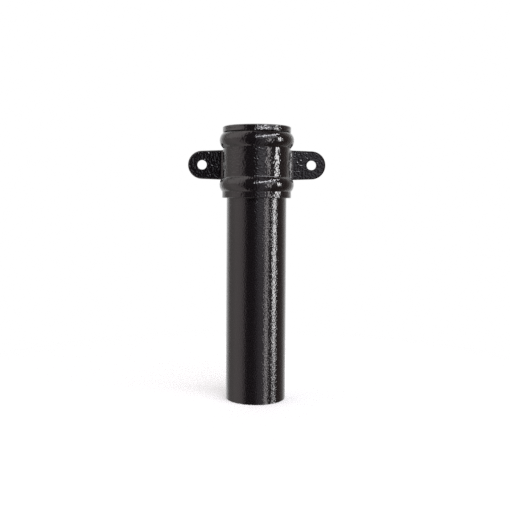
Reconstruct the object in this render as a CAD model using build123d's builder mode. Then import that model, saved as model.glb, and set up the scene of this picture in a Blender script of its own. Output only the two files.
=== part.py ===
"""Round downpipe with a cast eared socket at its top end.

Two pieces: an extruded tube, and a casting fixed on its upper end. The casting takes the end
of the next pipe from above and is screwed to the wall through its two ears.

Frame: origin at the centre of the tube's lower end, +Z up along the tube, +X towards the
right ear, and the wall on the +Y side. Sizes are in millimetres.
"""

import os

from build123d import *

# Tube
pipe_diameter = 76.0
pipe_wall = 2.0
exposed_length = 256.0
cut_edge_break = 0.5

# Casting, heights
socket_height = 90.0
socket_depth = 50.0
stop_thickness = 5.0

# Room on each side of the next pipe, and the widened mouth that leads it in
spigot_clearance = 1.0
lead_in_width = 1.2
lead_in_height = 3.0

# Casting, outer diameters of its plain bands, and the height of the band at its mouth
rim_diameter = 86.8
rim_height = 7.0
barrel_diameter = 86.0
foot_diameter = 87.8

# Two round beads: how far they stand out, the radius of their section, and their places
bead_diameter = 94.6
bead_section_radius = 12.6
upper_bead_drop = 17.4
lower_bead_rise = 16.8

# Edges of the turned outline: hollow roots beside the beads, broken outer corners. Under the
# rim there is a notch, where the bead runs up into it, with this much metal at least inside it
bead_root_round = 2.0
notch_wall = 2.0
rim_edge_break = 1.0
foot_edge_break = 0.6

# Ears, and the webs that carry them back to the wall
ear_hole_spacing = 145.0
ear_hole_diameter = 12.5
ear_end_radius = 18.6
ear_root_height = 39.4
ear_thickness = 6.0
ear_drop = 46.4
ear_root_fillet = 7.0
ear_edge_break = 1.4
ear_hole_edge_break = 0.7
web_inset = 0.6

# Worked out: radii
pipe_radius = pipe_diameter / 2
bore_radius = pipe_radius - pipe_wall
socket_radius = pipe_radius + spigot_clearance
barrel_radius = barrel_diameter / 2
bead_radius = bead_diameter / 2

# Worked out: heights
socket_bottom = exposed_length
socket_top = socket_bottom + socket_height
stop_top = socket_top - socket_depth
stop_bottom = stop_top - stop_thickness
upper_bead_height = socket_top - upper_bead_drop
lower_bead_height = socket_bottom + lower_bead_rise
ear_height = socket_top - ear_drop

# Worked out: ears. Their backs are level with the backs of the beads, so all bear on the wall
ear_back = bead_radius
ear_front = ear_back - ear_thickness
ear_hole_x = ear_hole_spacing / 2
ear_tip_x = ear_hole_x + ear_end_radius
web_side_x = barrel_radius - web_inset

os.makedirs("parts", exist_ok=True)


# Tube: it ends against the stop inside the casting, and its cut lower edges are broken
with BuildPart() as pipe:
    with BuildSketch(Plane.XY):
        Circle(pipe_radius)
        Circle(bore_radius, mode=Mode.SUBTRACT)
    extrude(amount=stop_bottom)
    chamfer(pipe.edges().group_by(Axis.Z)[0], cut_edge_break)

pipe.part.label = "pipe"


# Casting: ears and webs, then the turned body, then the bore through it
with BuildPart() as eared_socket:
    # Right ear and web from above: straight back from the barrel, a hollow root, then flat
    with BuildSketch(Plane.XY.offset(ear_height)):
        with BuildLine():
            Polyline(
                (0, 0),
                (web_side_x, 0),
                (web_side_x, ear_front),
                (ear_tip_x, ear_front),
                (ear_tip_x, ear_back),
                (0, ear_back),
                close=True,
            )
        make_face()
        ear_root = vertices().group_by(Axis.Y)[1].sort_by(Axis.X)[0]
        fillet(ear_root, ear_root_fillet)
    extrude(amount=ear_root_height, both=True)

    # The same from the front: a round end, and long edges that spread towards the barrel
    with BuildSketch(Plane.XZ):
        with Locations((0, ear_height)):
            Rectangle(barrel_radius, ear_root_height, align=(Align.MIN, Align.CENTER))
        with Locations((ear_hole_x, ear_height)):
            Circle(ear_end_radius)
        make_hull()
    extrude(amount=-ear_back, mode=Mode.INTERSECT)

    # Broken front edge, all the way from the barrel round the end of the ear
    end_arc = edges().filter_by(GeomType.CIRCLE).filter_by(Plane.XZ).sort_by(Axis.Y)[0]
    chamfer(end_arc, ear_edge_break)

    # Screw hole, with its front edge broken
    with BuildSketch(Plane.XZ.offset(-ear_front)):
        with Locations((ear_hole_x, ear_height)):
            Circle(ear_hole_diameter / 2)
    extrude(amount=-ear_thickness, mode=Mode.SUBTRACT)
    hole_edge = edges().filter_by(GeomType.CIRCLE).filter_by(lambda edge: edge.is_closed)
    chamfer(hole_edge.sort_by(Axis.Y)[0], ear_hole_edge_break)

    mirror(about=Plane.YZ)

    # Turned body: rim, barrel and foot, with the two beads round it
    with BuildSketch(Plane.XZ):
        with Locations((0, socket_top)):
            Rectangle(rim_diameter / 2, rim_height, align=(Align.MIN, Align.MAX))
            Rectangle(socket_radius + notch_wall, upper_bead_drop, align=(Align.MIN, Align.MAX))
        with Locations((0, lower_bead_height)):
            barrel_height = upper_bead_height - lower_bead_height
            Rectangle(barrel_radius, barrel_height, align=(Align.MIN, Align.MIN))
        with Locations((0, socket_bottom)):
            Rectangle(foot_diameter / 2, lower_bead_rise, align=(Align.MIN, Align.MIN))
        bead_centre = bead_radius - bead_section_radius
        with Locations((bead_centre, lower_bead_height), (bead_centre, upper_bead_height)):
            Circle(bead_section_radius)
        corners = vertices().filter_by_position(Axis.X, socket_radius, bead_radius - bead_root_round)
        below_notch = corners.filter_by_position(Axis.Y, socket_bottom, upper_bead_height)
        fillet(below_notch.sort_by(Axis.Y)[1:], bead_root_round)
        rim_corner = vertices().group_by(Axis.Y)[-1].sort_by(Axis.X)[-1]
        chamfer(rim_corner, rim_edge_break)
        foot_corner = vertices().group_by(Axis.Y)[0].sort_by(Axis.X)[-1]
        chamfer(foot_corner, foot_edge_break)
    revolve(axis=Axis.Z)

    # Bore: widened mouth, socket for the next pipe, stop, and the seat that holds this pipe
    with BuildSketch(Plane.XZ):
        with BuildLine():
            Polyline(
                (0, socket_top),
                (socket_radius + lead_in_width, socket_top),
                (socket_radius, socket_top - lead_in_height),
                (socket_radius, stop_top),
                (bore_radius, stop_top),
                (bore_radius, stop_bottom),
                (pipe_radius, stop_bottom),
                (pipe_radius, socket_bottom),
                (0, socket_bottom),
                close=True,
            )
        make_face()
    revolve(axis=Axis.Z, mode=Mode.SUBTRACT)

eared_socket.part.label = "eared_socket"


export_step(pipe.part, "parts/pipe.step")
export_step(eared_socket.part, "parts/eared_socket.step")
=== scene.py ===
"""Looks of the round downpipe with an eared socket: its black coating, the studio and the camera."""

import math

import bpy
from mathutils import Matrix, Quaternion, Vector


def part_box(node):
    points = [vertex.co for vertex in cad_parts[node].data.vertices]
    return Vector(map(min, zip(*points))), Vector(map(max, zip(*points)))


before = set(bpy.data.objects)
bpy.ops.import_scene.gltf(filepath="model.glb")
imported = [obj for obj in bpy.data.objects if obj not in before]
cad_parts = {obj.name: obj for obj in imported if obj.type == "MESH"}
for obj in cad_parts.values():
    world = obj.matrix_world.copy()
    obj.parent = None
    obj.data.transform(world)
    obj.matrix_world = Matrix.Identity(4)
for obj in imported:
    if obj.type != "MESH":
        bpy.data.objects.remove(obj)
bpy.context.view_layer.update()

# Photograph's frame and the lens that fits it, in pixels, and Blender's sensor in millimetres
IMAGE_SIDE = 510
FOCAL_LENGTH = 750
HORIZON_ROW = 228
SENSOR_WIDTH = 36.0

# Camera's place in metres and its turn in degrees: in front of the part, looking a little down
CAMERA_PLACE = (-0.00175, -0.9552, 0.2577)
CAMERA_PITCH = 2.39
CAMERA_ROLL = 0.35

# Powder coating: black with almost no sheen of its own, under a clear sharp skin. That sheen is more
# or less rough from patch to patch, and a patch is this wide, in metres
BLACK = (0.0075, 0.0062, 0.0068)
SHEEN_LEVEL = 0.02
SHEEN_ROUGHNESS = (0.28, 0.32)
SHEEN_PATCH = 0.012
SHEEN_DETAIL = 1.0
SKIN_WEIGHT = 1.0
SKIN_ROUGHNESS = 0.05
SKIN_IOR = 1.6

# Rounded grains of the coating on the tube and on the casting: their size and height, in metres
PIPE_GRAIN = 0.0014
PIPE_RELIEF = 0.00019
CASTING_GRAIN = 0.0024
CASTING_RELIEF = 0.00031
GRAIN_DETAIL = 0.0

# Casting's rim: the height of its face, and how far this leans back for each metre of height. Turning
# left rings in it: their pitch and relief in metres, and how little they change in X and Y against Z
RIM_HEIGHT = 0.007
RIM_LEAN = 0.15
RING_PITCH = 0.0020
RING_RELIEF = 0.00045
RING_STRETCH = (0.12, 0.12, 1)
RING_DETAIL = 0.0

# Relief heights are in metres already, so the bump takes them as they are
BUMP_DISTANCE = 1.0

# Studio all round the part, as the coating mirrors it: degrees to the right of the camera, and colour
STUDIO = [
    (-180, (1.00, 1.00, 1.00)),
    (-140, (1.00, 1.00, 1.00)),
    (-122, (0.41, 0.38, 0.37)),
    (-100, (0.59, 0.55, 0.54)),
    (-85, (0.86, 0.78, 0.77)),
    (-62, (0.86, 0.76, 0.77)),
    (-49, (0.62, 0.54, 0.56)),
    (-41, (0.15, 0.12, 0.13)),
    (-34, (0.020, 0.015, 0.020)),
    (-2, (0.020, 0.015, 0.020)),
    (3, (0.17, 0.15, 0.18)),
    (24, (0.41, 0.38, 0.42)),
    (46, (0.33, 0.30, 0.32)),
    (51, (0.08, 0.07, 0.07)),
    (92, (0.09, 0.06, 0.046)),
    (106, (0.13, 0.09, 0.07)),
    (119, (0.27, 0.24, 0.23)),
    (132, (0.58, 0.55, 0.53)),
    (150, (1.00, 1.00, 1.00)),
]

# Soft boxes in it. Across runs from the left to the right edge, in degrees to the right of the camera.
# Upwards runs from the lower to the upper edge, in degrees above a plane that rises to the right of
# the left edge by the lean. Those two edges fade out over the fade, and the sides over SIDE_FADE
SOFT_BOXES = {
    "weak": dict(across=(36, 44.5), upwards=(-30, 8), lean=0, fade=6, strength=3.2, tint=(1.0, 0.95, 0.96)),
    "strong": dict(across=(68.5, 78), upwards=(-6, 10), lean=0, fade=14, strength=12, tint=(1.0, 0.99, 1.0)),
    "slant": dict(across=(0, 88), upwards=(11, 17), lean=28, fade=1.5, strength=12, tint=(0.96, 0.95, 1.0)),
    "upper": dict(across=(0, 62), upwards=(18, 34), lean=0, fade=4, strength=2.3, tint=(0.93, 0.94, 1.0)),
    "blue": dict(across=(0, 26), upwards=(3, 12), lean=0, fade=6, strength=0.45, tint=(0.88, 0.93, 1.0)),
    "left": dict(across=(-110, -40), upwards=(14, 75), lean=0, fade=12, strength=0.45, tint=(1, 0.96, 0.95)),
}
SIDE_FADE = 1.5

# White floor, solid near the part and faded out further off, in metres. Its paint takes the shadow,
# and a glow that only the camera sees brings the rest of it to white
FLOOR_SOLID = 0.20
FLOOR_END = 0.50
FLOOR_SIDES = 96
FLOOR_PAINT = 0.80
FLOOR_GLOW = 0.30

# Setting of a Map Range node whose result eases in and out
SMOOTH = {"interpolation_type": "SMOOTHSTEP"}


def add_node(tree, kind, *inputs, settings=None, **named_inputs):
    """A shader node of that kind, with its inputs set or linked in their order or by name."""
    node = tree.nodes.new("ShaderNode" + kind)
    for name, value in (settings or {}).items():
        setattr(node, name, value)
    for key, value in [*enumerate(inputs), *named_inputs.items()]:
        if isinstance(value, bpy.types.NodeSocket):
            tree.links.new(value, node.inputs[key])
        else:
            node.inputs[key].default_value = value
    return node


def calculate(tree, operation, *values):
    """Result of one operation on numbers or outputs."""
    return add_node(tree, "Math", *values, settings={"operation": operation}).outputs[0]


def calculate_vector(tree, operation, *values):
    """The same on vectors, as the node that holds its results."""
    return add_node(tree, "VectorMath", *values, settings={"operation": operation})


def make_camera():
    """The photograph's viewpoint."""
    data = bpy.data.cameras.new("camera")
    data.sensor_width = SENSOR_WIDTH
    data.lens = FOCAL_LENGTH / IMAGE_SIDE * SENSOR_WIDTH
    data.shift_y = (HORIZON_ROW - IMAGE_SIDE / 2) / IMAGE_SIDE
    camera = bpy.data.objects.new("camera", data)
    bpy.context.scene.collection.objects.link(camera)
    tilt = Matrix.Rotation(math.radians(90 - CAMERA_PITCH), 4, "X")
    roll = Matrix.Rotation(math.radians(CAMERA_ROLL), 4, "Z")
    camera.matrix_world = Matrix.Translation(CAMERA_PLACE) @ tilt @ roll
    bpy.context.scene.camera = camera


def grain_relief(tree, place, grain, relief):
    """Height of the coating's rounded grains."""
    grains = add_node(tree, "TexNoise", Vector=place, Scale=1 / grain, Detail=GRAIN_DETAIL)
    return calculate(tree, "MULTIPLY", grains.outputs["Fac"], relief)


def rim_relief(tree, place):
    """Height of the rim's own relief: its face leans back, and turning left rings in it."""
    rim_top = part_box("eared_socket")[1][2]
    rim_bottom = rim_top - RIM_HEIGHT
    level = add_node(tree, "SeparateXYZ", place).outputs["Z"]
    lean = add_node(tree, "MapRange", level, rim_bottom, rim_top, 0.0, -RIM_HEIGHT * RIM_LEAN)
    stretched = calculate_vector(tree, "MULTIPLY", place, RING_STRETCH).outputs[0]
    rings = add_node(tree, "TexNoise", Vector=stretched, Scale=1 / RING_PITCH, Detail=RING_DETAIL)
    cut = calculate(tree, "MULTIPLY", rings.outputs["Fac"], RING_RELIEF)
    on_rim = calculate(tree, "GREATER_THAN", level, rim_bottom)
    return calculate(tree, "ADD", lean.outputs["Result"], calculate(tree, "MULTIPLY", cut, on_rim))


def coating(name, grain, relief, rim=False):
    """Glossy black powder coat: its grains sparkle in the lights and vanish elsewhere."""
    material = bpy.data.materials.new(name)
    material.use_nodes = True
    tree = material.node_tree
    shader = tree.nodes["Principled BSDF"]
    shader.inputs["Base Color"].default_value = (*BLACK, 1)
    shader.inputs["Specular IOR Level"].default_value = SHEEN_LEVEL
    shader.inputs["Coat Weight"].default_value = SKIN_WEIGHT
    shader.inputs["Coat Roughness"].default_value = SKIN_ROUGHNESS
    shader.inputs["Coat IOR"].default_value = SKIN_IOR
    place = add_node(tree, "TexCoord").outputs["Object"]

    height = grain_relief(tree, place, grain, relief)
    if rim:
        height = calculate(tree, "ADD", height, rim_relief(tree, place))
    bump = add_node(tree, "Bump", Distance=BUMP_DISTANCE, Height=height)
    for socket in ("Normal", "Coat Normal"):
        tree.links.new(bump.outputs["Normal"], shader.inputs[socket])

    patches = add_node(tree, "TexNoise", Vector=place, Scale=1 / SHEEN_PATCH, Detail=SHEEN_DETAIL)
    sheen = add_node(tree, "MapRange", patches.outputs["Fac"], 0.0, 1.0, *SHEEN_ROUGHNESS)
    tree.links.new(sheen.outputs["Result"], shader.inputs["Roughness"])
    return material


def dress(node, material):
    """Gives a CAD piece its finish."""
    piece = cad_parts[node]
    piece.data.materials.clear()
    piece.data.materials.append(material)


def within(tree, value, start, end, fade):
    """One from start to end, fading to nothing beyond them."""
    from_start = add_node(tree, "MapRange", value, start - fade, start, settings=SMOOTH)
    to_end = add_node(tree, "MapRange", value, end + fade, end, settings=SMOOTH)
    return calculate(tree, "MULTIPLY", from_start.outputs["Result"], to_end.outputs["Result"])


def add_soft_box(tree, studio, direction, azimuth, across, upwards, lean, fade, strength, tint):
    """The studio with one more soft box in it."""
    left_edge = Matrix.Rotation(math.radians(across[0]), 4, "Z") @ Vector((0, -1, 0))
    upright = Vector((0, 0, 1))
    upright.rotate(Quaternion(left_edge, math.radians(lean)))
    height = calculate_vector(tree, "DOT_PRODUCT", direction, upright).outputs["Value"]
    elevation = calculate(tree, "DEGREES", calculate(tree, "ARCSINE", height))
    sides = within(tree, azimuth, *across, SIDE_FADE)
    ends = within(tree, elevation, *upwards, fade)
    shape = calculate(tree, "MULTIPLY", sides, ends)
    colour = [strength * part for part in tint]
    light = add_node(tree, "VectorMath", colour, Scale=shape, settings={"operation": "SCALE"})
    return calculate_vector(tree, "ADD", studio, light.outputs[0]).outputs[0]


def make_world():
    """White to the camera. The coating mirrors the studio, which is dark only in front and on the right."""
    world = bpy.data.worlds.new("studio")
    bpy.context.scene.world = world
    world.use_nodes = True
    tree = world.node_tree

    direction = add_node(tree, "TexCoord").outputs["Generated"]
    parts = add_node(tree, "SeparateXYZ", direction)
    towards_camera = calculate(tree, "MULTIPLY", parts.outputs["Y"], -1.0)
    azimuth = calculate(tree, "DEGREES", calculate(tree, "ARCTAN2", parts.outputs["X"], towards_camera))
    turn = add_node(tree, "MapRange", azimuth, -180, 180)
    ramp = add_node(tree, "ValToRGB", turn.outputs["Result"])
    stops = ramp.color_ramp.elements
    while len(stops) < len(STUDIO):
        stops.new(1.0)
    for stop, (degrees, colour) in zip(stops, STUDIO):
        stop.position = (degrees + 180) / 360
        stop.color = (*colour, 1)
    studio = ramp.outputs["Color"]
    for soft_box in SOFT_BOXES.values():
        studio = add_soft_box(tree, studio, direction, azimuth, **soft_box)

    rays = add_node(tree, "LightPath")
    seen = add_node(tree, "MixRGB", rays.outputs["Is Camera Ray"], studio, (1, 1, 1, 1))
    tree.links.new(seen.outputs["Color"], tree.nodes["Background"].inputs["Color"])


def make_floor():
    """White floor that keeps the part's shadow and fades into the white around it."""
    bpy.ops.mesh.primitive_circle_add(vertices=FLOOR_SIDES, radius=FLOOR_END, fill_type="NGON")
    floor = bpy.context.object
    floor.name = "floor"
    material = bpy.data.materials.new("floor_white")
    material.use_nodes = True
    tree = material.node_tree
    tree.nodes.clear()

    paint = add_node(tree, "BsdfDiffuse", (FLOOR_PAINT, FLOOR_PAINT, FLOOR_PAINT, 1))
    rays = add_node(tree, "LightPath")
    lift = calculate(tree, "MULTIPLY", rays.outputs["Is Camera Ray"], FLOOR_GLOW)
    glow = add_node(tree, "Emission", Strength=lift)
    white = add_node(tree, "AddShader", paint.outputs[0], glow.outputs[0])

    place = add_node(tree, "TexCoord").outputs["Object"]
    reach = calculate_vector(tree, "LENGTH", place).outputs["Value"]
    fade = add_node(tree, "MapRange", reach, FLOOR_SOLID, FLOOR_END, settings=SMOOTH)
    clear = add_node(tree, "BsdfTransparent")
    faded = add_node(tree, "MixShader", fade.outputs["Result"], white.outputs[0], clear.outputs[0])
    add_node(tree, "OutputMaterial", faded.outputs[0])
    floor.data.materials.append(material)
    floor.visible_glossy = False


make_camera()
dress("pipe", coating("pipe_coating", PIPE_GRAIN, PIPE_RELIEF))
dress("eared_socket", coating("socket_coating", CASTING_GRAIN, CASTING_RELIEF, rim=True))
make_world()
make_floor()
bpy.context.scene.view_settings.view_transform = "Standard"

# Denoiser off: it smears the grain of so sharp a coating
bpy.context.scene.cycles.use_denoising = False
